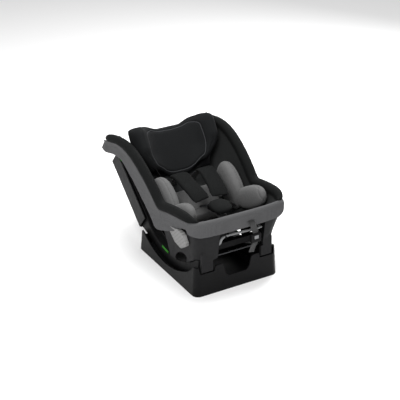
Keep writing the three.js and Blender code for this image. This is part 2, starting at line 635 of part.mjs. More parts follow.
// ----- harness -----
const BUCKLE = { y: -62, z: 258, tilt: -0.1 };
const strapPath = (side) => [
  backPoint(side * 30, 150, 44), backPoint(side * 40, 230, 42), backPoint(side * 42, 285, 42),
  backPoint(side * 42, 303, 50), backPoint(side * 42, 308, 70), backPoint(side * 42, 309, 100),
  backPoint(side * 42, 308, 140), backPoint(side * 42, 303, 172), backPoint(side * 41, 285, 195),
  backPoint(side * 38, 230, 219), backPoint(side * 33, 180, 236), backPoint(side * 26, 152, 243),
  backPoint(side * 20, 140, 240),
];
const shoulderStrap = (side, extra = 0) => band(strapPath(side), 38 + 2 * extra, 1.6 + 2 * extra, 44);
function shoulderPad(extra = 0) {
  const path = [backPoint(58, 306, 165), backPoint(57, 292, 189), backPoint(52, 240, 215),
    backPoint(46, 195, 231.5), backPoint(39, 152, 243)];
  const curve = new THREE.CatmullRomCurve3(path, false, "centripetal");
  const rings = Array.from({ length: 15 }, (_, k) => {
    const share = k / 14;
    const point = curve.getPoint(share);
    const along = curve.getTangent(share);
    const across = new THREE.Vector3(1, 0, 0).addScaledVector(along, -along.x).normalize();
    const up = along.clone().cross(across);
    const end = Math.min(1, 0.45 + 5 * Math.min(share, 1 - share));
    return Array.from({ length: 14 }, (_, j) => {
      const a = (2 * Math.PI * j) / 14;
      const [c, d] = [Math.cos(a), Math.sin(a)];
      const i = Math.sign(c) * Math.abs(c) ** 0.5 * (38 * (0.8 + 0.2 * end) + extra);
      const h = Math.sign(d) * Math.abs(d) ** 0.7 * (9 * end + extra);
      return point.clone().addScaledVector(across, i).addScaledVector(up, h);
    });
  });
  return loft(rings);
}
const lapPath = [
  new THREE.Vector3(142, 30, 184), new THREE.Vector3(128, 6, 198), new THREE.Vector3(102, -12, 222),
  new THREE.Vector3(74, -28, 244), new THREE.Vector3(49, -36, 256),
];
function lapStrap(extra = 0) {
  const curve = new THREE.CatmullRomCurve3(lapPath, false, "centripetal");
  const rings = Array.from({ length: 17 }, (_, k) => {
    const point = curve.getPoint(k / 16);
    const along = curve.getTangent(k / 16);
    const flat = new THREE.Vector3(0, -0.8, 0.6);
    const across = flat.clone().addScaledVector(along, -along.dot(flat)).normalize();
    const up = along.clone().cross(across);
    const [a, b] = [16 + extra, 0.8 + extra];
    return [[-a, -b], [a, -b], [a, b], [-a, b]].map(([i, j]) =>
      point.clone().addScaledVector(across, i).addScaledVector(up, j));
  });
  return loft(rings);
}
const atBuckle = (geometry) => geometry.rotateX(BUCKLE.tilt).translate(0, BUCKLE.y, BUCKLE.z);
const buckleCase = (extra = 0) => atBuckle(
  flatPlate(roundedOutline(-24 - extra, 24 + extra, -32 - extra, 20 + extra, 9), -9 - extra, 9 + extra, 2));
const tonguePlate = (extra = 0) => atBuckle(join(
  flatPlate(roundedOutline(2, 14, 6 - extra, 36, 2), -1.2 - extra, 1.2 + extra),
  flatPlate(roundedOutline(2 - extra, 46 + extra, 21 - extra, 42 + extra, 8), -1.2 - extra, 1.2 + extra)));
const crotchPath = [
  new THREE.Vector3(0, -128, 150), new THREE.Vector3(0, -128, 200), new THREE.Vector3(0, -127, 228),
  new THREE.Vector3(0, -120, 245), new THREE.Vector3(0, -108, 252), new THREE.Vector3(0, -95.5, 254.5),
];
const crotchStrap = (extra = 0) => band(crotchPath, 40 + 2 * extra, 2 + 2 * extra, 16);
const crotchPad = (extra = 0) => cushion(42 + extra, 44 + extra, 16 + extra, 2.6, 18, 12)
  .rotateX(0.1).translate(0, -105, 280);

const beltTools = [-1, 1].map((side) => shoulderStrap(side, 0.5));
const lapTools = [lapStrap(0.5), mirrored(lapStrap(0.5))];
const padTools = [shoulderPad(0.5), mirrored(shoulderPad(0.5))];
add("insert_back", "insert_grey", trimmed(backPad(), ...beltTools, ...lapTools));
add("insert_seat", "insert_grey", trimmed(seatPad(), crotchSlot, crotchPad(0.5), ...lapTools, besideFront,
  coverClearance));
addPair("insert_head_side", "insert_grey", trimmed(headPad(), coverClearance, backPad(0.5), lapTools[0]));
addPair("insert_hip_side", "insert_grey", trimmed(hipPad(), coverClearance, headPad(0.5), seatPad(0.5),
  backPad(0.5), lapTools[0]));
addPair("shoulder_strap", "webbing_black", trimmed(shoulderStrap(1), tonguePlate(0.4), buckleCase(0.4)));
addPair("shoulder_pad", "cover_black", trimmed(shoulderPad(), beltTools[1], box(-60, 0.4, -300, 300, 0, 600),
  headrestPad(0.5), crotchPad(0.5), buckleCase(0.5), tonguePlate(0.5)));
addPair("lap_strap", "webbing_black", trimmed(lapStrap(), coverClearance, tonguePlate(0.5)));
add("crotch_strap", "webbing_black", crotchStrap());
add("crotch_pad", "cover_black", trimmed(crotchPad(), crotchStrap(0.5), buckleCase(0.5),
  atBuckle(box(-14, 14, -30, -8, 5, 12))));
const buttonWell = atBuckle(box(-13, 13, -29, -9, 1, 20));
add("buckle_case", "structure_black", cut(buckleCase(), buttonWell, crotchStrap(0.4),
  tonguePlate(0.4), mirrored(tonguePlate(0.4))));
add("buckle_button", "buckle_red", atBuckle(box(-12.5, 12.5, -28.5, -9.5, 8, 11, 0.8)));
addPair("buckle_tongue", "steel", tonguePlate());

// ----- headrest pieces -----
const shellClearance = headrestShell(1.2);
add("headrest_shell", "structure_black", headrestShell());
addPair("headrest_wing", "headrest_black", trimmed(headrestWing(), shellClearance));
add("headrest_pad", "headrest_black", trimmed(headrestPad(), headrestWing(0.5),
  mirrored(headrestWing(0.5))));
const ROD = { x: 112, n: 44, radius: 5 };
const rod = onBack(new THREE.CylinderGeometry(ROD.radius, ROD.radius, 226, 16)
  .translate(ROD.x, 388, ROD.n));
addPair("headrest_rod", "steel", rod);
const bridge = onBack(sidePlate([
  [484, 35], [498, 35], [502, 60], [502, 140], [484, 140], [484, 80],
], -122, 122));
const rodHoles = [-1, 1].map((side) => onBack(
  new THREE.CylinderGeometry(ROD.radius + GAP, ROD.radius + GAP, 300, 16)
    .translate(side * ROD.x, 400, ROD.n)));
add("headrest_bridge", "structure_black", trimmed(bridge, ...rodHoles, shellClearance));
const socket = onBack(sidePlate([[340, 35], [480, 35], [480, 54.5], [340, 54.5]],
  ROD.x - 12, ROD.x + 12, 2));
addPair("rod_socket", "structure_black", trimmed(socket, ...rodHoles));
add("headrest_lever", "shell_grey", onBack(box(-26, 26, 502.6, 513, 66, 92, 2)));

// ----- hard bodywork: back frame cover, side shells, apron, crossmember -----
const BACK_COVER = { half: 170, wall: 4, s: [232, 534] };
function backFrameCover() {
  const outline = (half, low) => [[-half, BACK_FRAME_INNER], [-half, low + 14], [-half + 12, low],
    [half - 12, low], [half, low + 14], [half, BACK_FRAME_INNER]];
  const { half, wall } = BACK_COVER;
  const outer = outline(half, BACK_FRAME_REAR);
  const inner = outline(half - wall, BACK_FRAME_REAR + wall);
  const [s0, s1] = BACK_COVER.s;
  const hull = frontPlate(outer, s0, s1);
  const hollow = frontPlate(inner.map(([x, n]) => [x, n > -20 ? 40 : n]), s0 - 10, s1 - 5);
  return onBack(cut(hull, hollow));
}
add("back_frame_cover", "shell_grey", backFrameCover());
add("splitter_plate", "steel", onBack(box(-52, 52, 132, 147.5, 42, 45)));

const SIDE_SHELL_TOP = 262;
const sideHalfWidth = (z) => 163.5 + 0.00122 * Math.max(z - 96, 0) ** 2 + 0.01 * (z - 96);
function sideSkin(grow, reach) {
  const path = (q, z, inset) => {
    const half = sideHalfWidth(z) - inset;
    const front = -220 - 0.14 * (z - 96) + inset;
    const radius = 48;
    const straight = 70 - (front + radius);
    const arc = (Math.PI / 2) * radius;
    const across = half - radius - reach;
    const at = q * (straight + arc + across);
    if (at < straight) return [half, 70 - at];
    if (at < straight + arc) {
      const angle = (at - straight) / radius;
      return [half - radius + radius * Math.cos(angle), front + radius - radius * Math.sin(angle)];
    }
    return [half - radius - (at - straight - arc), front];
  };
  const face = (inset) => (u, v) => {
    const z = 70 + (SIDE_SHELL_TOP - 70) * v;
    return new THREE.Vector3(...path(u, z, inset), z);
  };
  return slab(22, 7, face(-grow), face(5 + grow));
}
const BELT_HOLE = Array.from({ length: 18 }, (_, k) => {
  const angle = (2 * Math.PI * k) / 18;
  const [a, b] = [50 * Math.cos(angle), 24 * Math.sin(angle)];
  return [-93 + a * 0.88 + b * 0.475, 98 - a * 0.475 + b * 0.88];
});
function sideShell(edge) {
  const visible = sidePlate([
    [52, 262], [44, 212], [30, 160], [10, 112], [-4, 76],
    ...arcPoints(ROCKER_INNER - 0.8, -6, -192, 16), [-213, 147], [-213, 96], [-262, 96], [-262, 262],
  ], 40, 240);
  const leg = frontPlate([[104, 95.5], [153, 95.5], [153, 168], [146, 184], [132, 176], [104, 156]],
    -228, -215.5, 1.5);
  const opening = frontPlate([
    [20, 80], [103, 80], [103, 138], [edge + 2, 142], [edge, 150], [edge, 250], [20, 262],
  ], -300, -150);
  const body = common(join(sideSkin(0, 40), leg), join(visible, box(104, 153, -232, -215, 93, 186)));
  return trimmed(body, sidePlate(BELT_HOLE, 60, 240), opening, bucketClearance, besideFront,
    sideBand(hemOf, seamOf, 0.5, 0.002, 0.96), coverClearance);
}
const OPENING_EDGE = { left: 84, right: 112 };
add("side_shell_right", "shell_grey", sideShell(OPENING_EDGE.right));
add("side_shell_left", "shell_grey", mirrored(sideShell(OPENING_EDGE.left)));

// ----- front of the seat: apron, crossmember, recline handle and harness adjuster -----
add("front_apron", "structure_black", cut(box(-150, 150, -231, -219, 238, 256, 2), bucketClearance,
  sideSkin(0.5, 40), mirrored(sideSkin(0.5, 40)), besideFront));
add("seat_crossmember", "structure_black",
  box(-ROCKER_X[0] + 0.4, ROCKER_X[0] - 0.4, -190, -170, 148, 176, 2));
add("recline_latch_bar", "steel", new THREE.CylinderGeometry(3, 3, 2 * ROCKER_X[0] - 0.8, 14)
  .rotateZ(Math.PI / 2).translate(0, -200, 136));
const handleCurve = new THREE.CatmullRomCurve3([
  [-78, -196, 196], [-79, -222, 196], [-79, -233, 204], [-78, -237, 216], [-71, -239, 229],
  [-58, -240, 233], [-20, -241, 233], [40, -241, 231], [86, -240, 229], [97, -236, 228],
  [100, -224, 226], [100, -196, 224]].map((p) => new THREE.Vector3(...p)), false, "centripetal");
add("recline_handle", "handle_silver", tube(handleCurve.getSpacedPoints(26), () => 4.6, 8));
const ADJUSTER = { x: [34, 76], y: [-270, -257], z: [188, 224] };
const adjusterCase = cut(
  box(...ADJUSTER.x, ...ADJUSTER.y, ...ADJUSTER.z, 2.5),
  box(38, 72, -264.4, -261, 180, 230), box(46, 64, -275, -266, 204, 218));
add("adjuster_case", "structure_black", adjusterCase);
add("adjuster_button", "handle_silver", box(46.5, 63.5, -272, -269, 204.5, 217.5, 0.8));
const pullPath = [[38, -241, 277], [38, -251, 277], [38, -262, 277], [40, -264.5, 268], [46, -264, 250],
  [53, -263, 235], [55, -262.7, 224], [55, -262.7, 188], [50, -261, 176], [44, -258, 156], [42, -257, 146]];
add("adjuster_strap", "webbing_black", band(pullPath.map((p) => new THREE.Vector3(...p)), 26, 1.8, 30));

// ----- side pads and belt guides -----
const sidePadOutline = [[-62, 212], [-84, 172], [-124, 162], [-134, 165], [-178, 196], [-190, 212],
  [-192, 250], [-184, 270], [-90, 244]];
const shellFace = (grow) => sideSkin(grow, 40);
const padHull = common(sidePlate(sidePadOutline, 140, 215, 2), slab(22, 7,
  ...[-16, -0.6].map((lift) => (u, v) => {
    const z = 70 + (SIDE_SHELL_TOP - 70) * v;
    return new THREE.Vector3(sideHalfWidth(z) - lift, 70 - 290 * u, z);
  })));
const bandClearance = sideBand(hemOf, seamOf, 0.6, 0.002, 0.96);
addPair("side_impact_pad", "pad_light", trimmed(padHull, bandClearance, besideFront, shellFace(0.5),
  bucketClearance));
const beltGuide = onBack(box(159, 169, 492, 533, BACK_FRAME_INNER + 0.4, BACK_FRAME_INNER + 4, 1.2));
addPair("belt_guide", "route_green", beltGuide);
export default seat;
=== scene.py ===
"""Convertible child car seat: materials, soft goods, light and camera. Metres, +Z up, the seat faces -Y."""
import json
import math

import bmesh
import bpy
import numpy as np
from mathutils import Matrix, Vector
from mathutils.bvhtree import BVHTree


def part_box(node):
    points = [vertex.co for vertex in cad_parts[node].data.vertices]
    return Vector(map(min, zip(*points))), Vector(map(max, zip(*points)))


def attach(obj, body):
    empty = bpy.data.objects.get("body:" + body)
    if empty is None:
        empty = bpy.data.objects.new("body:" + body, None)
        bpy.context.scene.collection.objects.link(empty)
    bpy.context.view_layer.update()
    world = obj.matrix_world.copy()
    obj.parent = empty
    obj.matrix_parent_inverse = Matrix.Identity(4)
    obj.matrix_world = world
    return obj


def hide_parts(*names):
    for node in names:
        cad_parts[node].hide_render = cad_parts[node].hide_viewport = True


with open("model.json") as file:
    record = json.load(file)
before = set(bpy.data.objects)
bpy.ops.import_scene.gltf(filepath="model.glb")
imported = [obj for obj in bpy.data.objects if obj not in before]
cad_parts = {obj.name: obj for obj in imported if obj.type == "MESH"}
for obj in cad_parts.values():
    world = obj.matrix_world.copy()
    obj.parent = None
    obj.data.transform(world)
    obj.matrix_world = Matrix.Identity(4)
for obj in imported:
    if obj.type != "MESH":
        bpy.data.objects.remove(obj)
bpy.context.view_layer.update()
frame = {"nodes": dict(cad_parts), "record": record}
nodes = frame["nodes"]
scene = bpy.context.scene
MM = 0.001

# ---------- the backrest's own frame, as in the CAD: s runs up it, n stands off it ----------
LEAN = math.radians(40)


def back(x, s, n):
    """A point given across, up and off the backrest in millimetres, as a place in metres."""
    c, d = math.cos(LEAN), math.sin(LEAN)
    return Vector((x, s * c - n * d, s * d + n * c)) * MM


def at(x, y, z):
    return Vector((x, y, z)) * MM


def mirror(points):
    return [Vector((-p.x, p.y, p.z)) for p in points]


# ---------- camera, light and floor ----------
CAMERA_PLACE = (-1.9079, -3.2184, 2.1573)
CAMERA_DIRECTION = (0.4499, 0.770, -0.4524)
CAMERA_SENSOR, CAMERA_LENS = 36, 99
SKY_STRENGTH = 0.5
SEAT_MIDDLE = (0, 0.05, 0.25)
SOFTBOXES = (  # name, place, size in metres, power in watts
    ("key", (-1.7, -1.5, 2.7), 1.5, 85),
    ("top", (0.3, 0.5, 3.0), 1.8, 78),
    ("rim", (2.2, 1.3, 1.5), 1.2, 40),
)
FLOOR_REACH = 12


def camera():
    data = bpy.data.cameras.new("camera")
    data.sensor_width = CAMERA_SENSOR
    data.lens = CAMERA_LENS
    holder = bpy.data.objects.new("camera", data)
    holder.location = CAMERA_PLACE
    holder.rotation_mode = "QUATERNION"
    holder.rotation_quaternion = Vector(CAMERA_DIRECTION).to_track_quat("-Z", "Y")
    scene.collection.objects.link(holder)
    scene.camera = holder


def softbox(name, place, size, power):
    data = bpy.data.lights.new(name, "AREA")
    data.shape = "DISK"
    data.size = size
    data.energy = power
    lamp = bpy.data.objects.new(name, data)
    lamp.location = place
    lamp.rotation_mode = "QUATERNION"
    lamp.rotation_quaternion = (Vector(SEAT_MIDDLE) - Vector(place)).to_track_quat("-Z", "Y")
    scene.collection.objects.link(lamp)


def studio():
    world = bpy.data.worlds.new("studio")
    world.use_nodes = True
    sky = world.node_tree.nodes["Background"]
    sky.inputs["Color"].default_value = (1, 1, 1, 1)
    sky.inputs["Strength"].default_value = SKY_STRENGTH
    scene.world = world
    scene.view_settings.view_transform = "Standard"
    for name, place, size, power in SOFTBOXES:
        softbox(name, place, size, power)
    mesh = bpy.data.meshes.new("floor")
    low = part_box("base_foot_front")[0].z
    corners = [(x * FLOOR_REACH, y * FLOOR_REACH, low) for x, y in ((-1, -1), (1, -1), (1, 1), (-1, 1))]
    mesh.from_pydata(corners, [], [(0, 1, 2, 3)])
    ground = bpy.data.objects.new("floor", mesh)
    scene.collection.objects.link(ground)
    look, _, bsdf = principled("floor_paper")
    bsdf.inputs["Base Color"].default_value = (0.93, 0.93, 0.93, 1)
    bsdf.inputs["Roughness"].default_value = 0.7
    mesh.materials.append(look)


# ---------- materials ----------
def linear(rgb, factor=1.0):
    """An sRGB colour of 0 to 255 as a linear one, made lighter or darker by a factor."""
    channels = [c / 255 / 12.92 if c < 10.3 else ((c / 255 + 0.055) / 1.055) ** 2.4 for c in rgb]
    return (*[min(1.0, c * factor) for c in channels], 1.0)


def principled(name):
    look = bpy.data.materials.new(name)
    look.use_nodes = True
    tree = look.node_tree
    tree.nodes.clear()
    out = tree.nodes.new("ShaderNodeOutputMaterial")
    bsdf = tree.nodes.new("ShaderNodeBsdfPrincipled")
    tree.links.new(bsdf.outputs[0], out.inputs["Surface"])
    return look, tree, bsdf


def put(tree, kind, inputs=None, **settings):
    """Adds a shader node; an input is a value, or the socket that feeds it."""
    node = tree.nodes.new("ShaderNode" + kind)
    for key, value in settings.items():
        setattr(node, key, value)
    for key, value in (inputs or {}).items():
        if isinstance(value, bpy.types.NodeSocket):
            tree.links.new(value, node.inputs[key])
        else:
            node.inputs[key].default_value = value
    return node


def blended(tree, share, low, high):
    """A colour between low and high, by a share from 0 to 1."""
    node = put(tree, "Mix", {"Factor": share}, data_type="RGBA")
    for socket, value in ((node.inputs[6], low), (node.inputs[7], high)):
        if isinstance(value, bpy.types.NodeSocket):
            tree.links.new(value, socket)
        else:
            socket.default_value = value
    return node.outputs[2]


def spread(tree, value, low, high, to_low=0.0, to_high=1.0):
    node = put(tree, "MapRange", {
        "Value": value, "From Min": low, "From Max": high, "To Min": to_low, "To Max": to_high})
    return node.outputs["Result"]


def fabric(name, rgb, thread, depth, sheen, contrast=0.16):
    """Cloth: round stitches of the thread's size, loose fibres, and patches a little lighter."""
    look, tree, bsdf = principled(name)
    place = put(tree, "TexCoord").outputs["Object"]
    stitch = put(tree, "TexVoronoi", {"Vector": place, "Scale": 1000 / thread, "Randomness": 0.55})
    fibre = put(tree, "TexNoise", {"Vector": place, "Scale": 2600 / thread, "Detail": 3.0})
    patch = put(tree, "TexNoise", {"Vector": place, "Scale": 14.0, "Detail": 4.0, "Roughness": 0.6})
    gaps = spread(tree, stitch.outputs["Distance"], 0.1, 0.75)
    body = blended(tree, gaps, linear(rgb, 1 + contrast), linear(rgb, 1 - 2 * contrast))
    fuzzy = blended(tree, spread(tree, fibre.outputs["Fac"], 0.35, 0.75, 0, 0.35), body,
                    linear(rgb, 1.5))
    lighter_in_patches = blended(tree, spread(tree, patch.outputs["Fac"], 0.3, 0.7, 0, 0.22), fuzzy,
                   linear(rgb, 1.28))
    tree.links.new(lighter_in_patches, bsdf.inputs["Base Color"])
    bsdf.inputs["Roughness"].default_value = 0.92
    bsdf.inputs["Specular IOR Level"].default_value = 0.12
    bsdf.inputs["Sheen Weight"].default_value = sheen
    bsdf.inputs["Sheen Roughness"].default_value = 0.45
    bsdf.inputs["Sheen Tint"].default_value = linear(rgb, 2.2)
    height = put(tree, "Math", {0: spread(tree, stitch.outputs["Distance"], 0, 0.8, 1, 0),
                                1: fibre.outputs["Fac"]}, operation="ADD")
    bump = put(tree, "Bump", {"Strength": 0.55, "Distance": depth * MM, "Height": height.outputs[0]})
    soft = put(tree, "Bump", {"Strength": 0.25, "Distance": 2.5 * MM, "Height": patch.outputs["Fac"],
                              "Normal": bump.outputs[0]})
    tree.links.new(soft.outputs[0], bsdf.inputs["Normal"])
    return look


def plastic(name, rgb, roughness, grain, depth, edge_highlight_strength, coat=0.0):
    """Moulded plastic: a fine grain, handling marks in the gloss, and a painted highlight that lightens its
    edges in patches.
    """
    look, tree, bsdf = principled(name)
    place = put(tree, "TexCoord").outputs["Object"]
    pits = put(tree, "TexVoronoi", {"Vector": place, "Scale": 1000 / grain, "Randomness": 0.9})
    marks = put(tree, "TexNoise", {"Vector": place, "Scale": 9.0, "Detail": 6.0, "Roughness": 0.65})
    scuffs = put(tree, "TexNoise", {
        "Vector": put(tree, "Mapping", {"Vector": place, "Scale": (40, 220, 60)}).outputs[0],
        "Scale": 1.0, "Detail": 4.0})
    # Painted highlight: convex edges, found by pointiness, are lightened in patches towards 2.6 times the
    # colour.
    ridge = spread(tree, put(tree, "NewGeometry").outputs["Pointiness"], 0.515, 0.58)
    lighter_in_patches = put(tree, "Math", {0: ridge, 1: spread(tree, marks.outputs["Fac"], 0.4, 0.65)},
               operation="MULTIPLY")
    edge_highlight = put(tree, "Math", {0: lighter_in_patches.outputs[0], 1: edge_highlight_strength}, operation="MULTIPLY")
    plain = blended(tree, spread(tree, marks.outputs["Fac"], 0.3, 0.7, 0, 0.4), linear(rgb, 0.92),
                    linear(rgb, 1.22))
    tree.links.new(blended(tree, edge_highlight.outputs[0], plain, linear(rgb, 2.6)), bsdf.inputs["Base Color"])
    gloss = put(tree, "Math", {0: spread(tree, scuffs.outputs["Fac"], 0.35, 0.75, -0.05, 0.07),
                               1: spread(tree, marks.outputs["Fac"], 0.3, 0.7, roughness - 0.05,
                                         roughness + 0.08)}, operation="ADD")
    tree.links.new(gloss.outputs[0], bsdf.inputs["Roughness"])
    bsdf.inputs["Specular IOR Level"].default_value = 0.09
    bsdf.inputs["Coat Weight"].default_value = coat
    bsdf.inputs["Coat Roughness"].default_value = 0.12
    bump = put(tree, "Bump", {"Strength": 0.35, "Distance": depth * MM,
                              "Height": pits.outputs["Distance"]})
    tree.links.new(bump.outputs[0], bsdf.inputs["Normal"])
    return look


def perforated(name, rgb, pitch=7.0, hole=0.5):
    """A light moulding with rows of small round holes through its face, set corner to corner, with painted
    shade darkening the holes.
    """
    look, tree, bsdf = principled(name)
    place = put(tree, "TexCoord").outputs["Object"]
    axes = put(tree, "SeparateXYZ", {"Vector": place})
    waves = []
    for axis, share in (("Y", 0.8), ("Z", 1.0)):
        phase = put(tree, "Math", {0: axes.outputs[axis], 1: share * math.pi * 1000 / pitch},
                    operation="MULTIPLY")
        waves.append(put(tree, "Math", {0: phase.outputs[0]}, operation="SINE").outputs[0])
    crossed = put(tree, "Math", {0: waves[0], 1: waves[1]}, operation="MULTIPLY")
    marks = put(tree, "TexNoise", {"Vector": place, "Scale": 40.0, "Detail": 4.0})
    # Painted shade: the holes are darkened to 0.6 of the colour, as if shade fell into them.
    open_share = spread(tree, crossed.outputs[0], hole, hole + 0.15)
    plain = blended(tree, marks.outputs["Fac"], linear(rgb, 0.85), linear(rgb, 1.12))
    tree.links.new(blended(tree, open_share, plain, linear(rgb, 0.6)), bsdf.inputs["Base Color"])
    bsdf.inputs["Roughness"].default_value = 0.6
    bump = put(tree, "Bump", {"Strength": 0.8, "Distance": 0.8 * MM,
                              "Height": spread(tree, open_share, 0, 1, 1, 0)})
    tree.links.new(bump.outputs[0], bsdf.inputs["Normal"])
    return look


def webbing(name, rgb):
    """Woven strap: slanted ribs along it and a close thread in the ribs. U is across, V along, in metres."""
    look, tree, bsdf = principled(name)
    place = put(tree, "UVMap").outputs["UV"]
    ribs = put(tree, "TexWave", {"Vector": place, "Scale": 125.0, "Distortion": 0.5, "Detail": 1.0},
               wave_type="BANDS", bands_direction="X")
    weft = put(tree, "TexWave", {"Vector": place, "Scale": 210.0, "Distortion": 0.8, "Detail": 1.0},
               wave_type="BANDS", bands_direction="DIAGONAL")
    both = put(tree, "Math", {0: ribs.outputs["Fac"], 1: weft.outputs["Fac"]}, operation="MULTIPLY")
    tree.links.new(blended(tree, both.outputs[0], linear(rgb, 0.7), linear(rgb, 1.6)),
                   bsdf.inputs["Base Color"])
    bsdf.inputs["Roughness"].default_value = 0.7
    bsdf.inputs["Sheen Weight"].default_value = 0.2
    bump = put(tree, "Bump", {"Strength": 0.7, "Distance": 0.3 * MM, "Height": both.outputs[0]})
    tree.links.new(bump.outputs[0], bsdf.inputs["Normal"])
    return look


def brushed(name, rgb, roughness):
    """Metal drawn or rolled along X: fine streaks in its gloss."""
    look, tree, bsdf = principled(name)
    place = put(tree, "TexCoord").outputs["Object"]
    streaks = put(tree, "TexNoise", {
        "Vector": put(tree, "Mapping", {"Vector": place, "Scale": (12, 900, 900)}).outputs[0],
        "Scale": 1.0, "Detail": 3.0})
    tree.links.new(blended(tree, streaks.outputs["Fac"], linear(rgb, 0.8), linear(rgb, 1.1)),
                   bsdf.inputs["Base Color"])
    bsdf.inputs["Metallic"].default_value = 1.0
    tree.links.new(spread(tree, streaks.outputs["Fac"], 0.3, 0.7, roughness - 0.08, roughness + 0.12),
                   bsdf.inputs["Roughness"])
    bump = put(tree, "Bump", {"Strength": 0.15, "Distance": 0.05 * MM, "Height": streaks.outputs["Fac"]})
    tree.links.new(bump.outputs[0], bsdf.inputs["Normal"])
    return look


LOOKS = {
    "base_black": plastic("base_black", (9, 9, 10), 0.36, 1.1, 0.03, edge_highlight_strength=0.3),
    "shell_grey": plastic("shell_grey", (26, 26, 27), 0.5, 0.8, 0.06, edge_highlight_strength=0.3),
    "structure_black": plastic("structure_black", (11, 11, 12), 0.5, 0.8, 0.06, edge_highlight_strength=0.3),
    "cover_grey": fabric("cover_grey", (76, 76, 77), 1.6, 0.3, sheen=0.2),
    "cover_black": fabric("cover_black", (15, 16, 16), 1.4, 0.3, sheen=0.04),
    "insert_grey": fabric("insert_grey", (90, 90, 90), 1.3, 0.3, sheen=0.2),
    "headrest_black": fabric("headrest_black", (22, 23, 24), 1.8, 0.35, sheen=0.08),
    # Painted light: a lighter copy of the black cover cloth, put on the inner lining to stand in for the
    # light that falls into the seat.
    "lining_black_painted_light": fabric("lining_black_painted_light", (32, 33, 33), 1.4, 0.3, sheen=0.1),
    "webbing_black": webbing("webbing_black", (14, 14, 15)),
    "pad_light": perforated("pad_light", (118, 118, 117)),
    "route_green": plastic("route_green", (44, 120, 30), 0.45, 1.2, 0.02, edge_highlight_strength=0.0),
    "handle_silver": plastic("handle_silver", (124, 125, 126), 0.38, 1.0, 0.02, coat=0.15, edge_highlight_strength=0.0),
    "steel": brushed("steel", (78, 79, 81), 0.42),
    "buckle_red": plastic("buckle_red", (150, 18, 16), 0.35, 1.2, 0.02, edge_highlight_strength=0.3),
    "foot_rubber": plastic("foot_rubber", (26, 26, 26), 0.8, 0.6, 0.08, edge_highlight_strength=0.0),
}
piping_look = fabric("piping_grey", (62, 63, 65), 0.9, 0.2, sheen=0.2)
thread_look = fabric("thread_dark", (30, 30, 31), 0.5, 0.1, sheen=0.1)
SLOT_OF = {part["node"]: part["material_slot"] for part in frame["record"]["subparts"]}


# ---------- hard parts: the CAD nodes, with rounded edges and their own materials ----------
def weld_and_round(node, width):
    """Rounds a CAD node's sharp edges; its own mesh stays as it is."""
    holder = nodes[node]
    mesh = holder.data
    if "custom_normal" in mesh.attributes:
        mesh.attributes.remove(mesh.attributes["custom_normal"])
    mesh.shade_smooth()
    weld = holder.modifiers.new("weld", "WELD")
    weld.merge_threshold = 0.02 * MM
    flat = holder.modifiers.new("flat", "DECIMATE")
    flat.decimate_type = "DISSOLVE"
    flat.angle_limit = math.radians(0.6)
    bevel = holder.modifiers.new("bevel", "BEVEL")
    bevel.width = width * MM
    bevel.segments = 2
    bevel.limit_method = "ANGLE"
    bevel.angle_limit = math.radians(38)
    bevel.use_clamp_overlap = True
    holder.modifiers.new("even", "WEIGHTED_NORMAL").weight = 90


for name, holder in nodes.items():
    holder.data.materials.clear()
    holder.data.materials.append(LOOKS[SLOT_OF[name]])

USUAL_EDGE = 1.2  # millimetres
EDGE = {"base_tray": 2.0, "bucket_shell": 0.8, "headrest_shell": 0.8, "adjuster_case": 1.0,
        "buckle_button": 0.5, "adjuster_button": 0.4, "buckle_tongue_right": 0.4,
        "buckle_tongue_left": 0.4, "splitter_plate": 0.5, "headrest_rod_right": 0.8,
        "headrest_rod_left": 0.8, "recline_handle": 0.6, "belt_guide_right": 0.4,
        "belt_guide_left": 0.4}
SOFT_SLOTS = {"pad_light", "cover_grey", "cover_black", "insert_grey", "headrest_black", "webbing_black"}
for name in nodes:
    if SLOT_OF[name] not in SOFT_SLOTS:
        weld_and_round(name, EDGE.get(name, USUAL_EDGE))


# ---------- mesh tools for the soft goods ----------
def coordinates(mesh):
    found = np.empty(len(mesh.vertices) * 3)
    mesh.vertices.foreach_get("co", found)
    return found.reshape(-1, 3)


def placed(mesh, positions):
    mesh.vertices.foreach_set("co", np.asarray(positions, dtype=np.float64).ravel())
    mesh.update()


def copied(name, *sources):
    """One welded object from the shapes of several CAD nodes."""
    work = bmesh.new()
    for source in sources:
        work.from_mesh(nodes[source].data)
    bmesh.ops.remove_doubles(work, verts=work.verts, dist=0.02 * MM)
    mesh = bpy.data.meshes.new(name)
    work.to_mesh(mesh)
    work.free()
    made = bpy.data.objects.new(name, mesh)
    scene.collection.objects.link(made)
    return made


def settled(made):
    """The object with its modifiers applied."""
    graph = bpy.context.evaluated_depsgraph_get()
    mesh = bpy.data.meshes.new_from_object(made.evaluated_get(graph))
    made.modifiers.clear()
    made.data = mesh
    return made


def voxelled(made, size):
    remesh = made.modifiers.new("voxels", "REMESH")
    remesh.mode = "VOXEL"
    remesh.voxel_size = size * MM
    return settled(made)


def relaxed(made, rounds):
    smooth = made.modifiers.new("relax", "SMOOTH")
    smooth.iterations = rounds
    smooth.factor = 0.5
    return settled(made)


def swollen(made, distance):
    """Every point moved along its normal."""
    mesh = made.data
    normals = np.empty(len(mesh.vertices) * 3)
    mesh.vertices.foreach_get("normal", normals)
    placed(mesh, coordinates(mesh) + normals.reshape(-1, 3) * distance * MM)
    return made


CLOTH_FRAMES = 20


